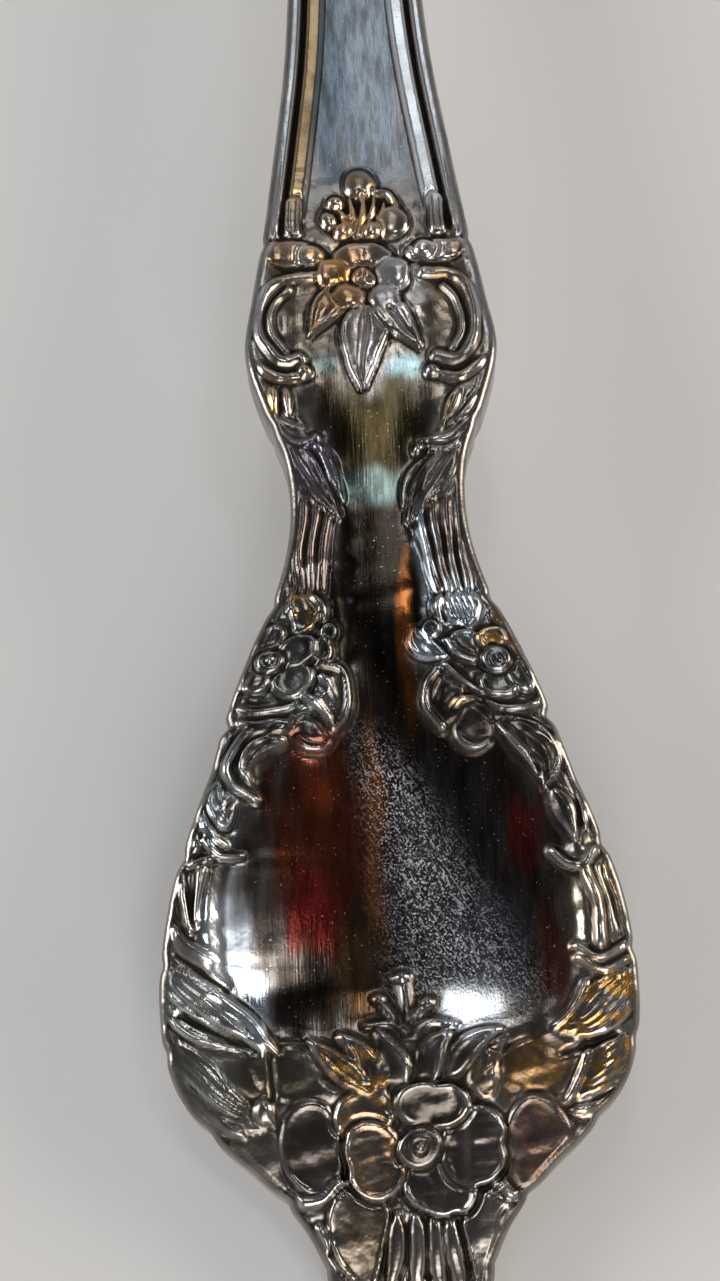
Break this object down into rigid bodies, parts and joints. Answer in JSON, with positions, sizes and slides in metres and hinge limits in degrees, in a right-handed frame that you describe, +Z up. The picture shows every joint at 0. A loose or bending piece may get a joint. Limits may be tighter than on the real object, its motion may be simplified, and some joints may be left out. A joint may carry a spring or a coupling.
{
  "type": "bar spoon",
  "caption": "Long bar spoon with a die-struck floral handle, twisted square stem, turned collars and an egg-shaped bowl.",
  "frame": {"origin": "under the middle of the whole spoon, on the plane it lies on", "axes": "+Y from the handle tip towards the bowl tip, +Z up out of the bowl and out of the patterned face, +X across"},
  "size_m": [0.026, 0.276, 0.0128],
  "materials": {
    "handle_silver": "polished silver plate, dark patina in the recesses of the relief",
    "collar_silver": "polished silver plate",
    "stem_silver": "polished silver plate, dark patina along the twist",
    "bowl_silver": "polished silver plate with fine wear",
    "solder": "dull silver solder"
  },
  "bodies": {
    "root": {"handle": "handle_silver", "handle_ferrule": "collar_silver", "stem": "stem_silver", "bowl_ferrule": "collar_silver", "bowl": "bowl_silver", "handle_solder": "solder", "bowl_solder": "solder"}
  },
  "joints": []
}
